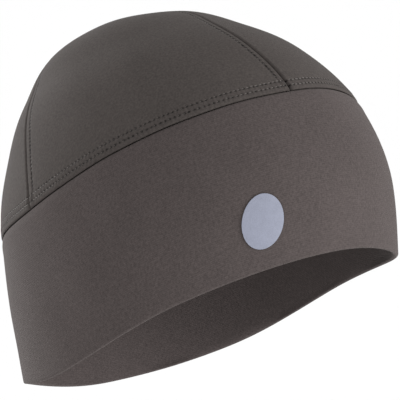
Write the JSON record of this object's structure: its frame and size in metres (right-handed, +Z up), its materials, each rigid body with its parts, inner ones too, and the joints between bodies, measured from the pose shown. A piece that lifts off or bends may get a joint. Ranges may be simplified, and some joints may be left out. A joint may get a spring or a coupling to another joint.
{
  "type": "helmet liner cap",
  "caption": "Close-fitting stretch cap with a wide folded headband, a panelled crown with flat seams and a small reflective mark, in the form it takes when worn.",
  "frame": {"origin": "the point inside the top of the crown that rests on the head, with the cap pitched as worn", "axes": "+Z up along the wearer's height, -Y to the front, +X to the wearer's left"},
  "size_m": [0.1682, 0.1843, 0.1862],
  "materials": {
    "band_cloth": "fine matt stretch jersey, dark warm grey",
    "crown_cloth": "brushed matt stretch knit, dark warm grey",
    "mark_film": "silver reflective transfer film"
  },
  "bodies": {
    "root": {"headband": "band_cloth", "crown_front_right": "crown_cloth", "crown_front_left": "crown_cloth", "crown_back_right": "crown_cloth", "crown_back_left": "crown_cloth", "reflective_mark": "mark_film"}
  },
  "joints": []
}
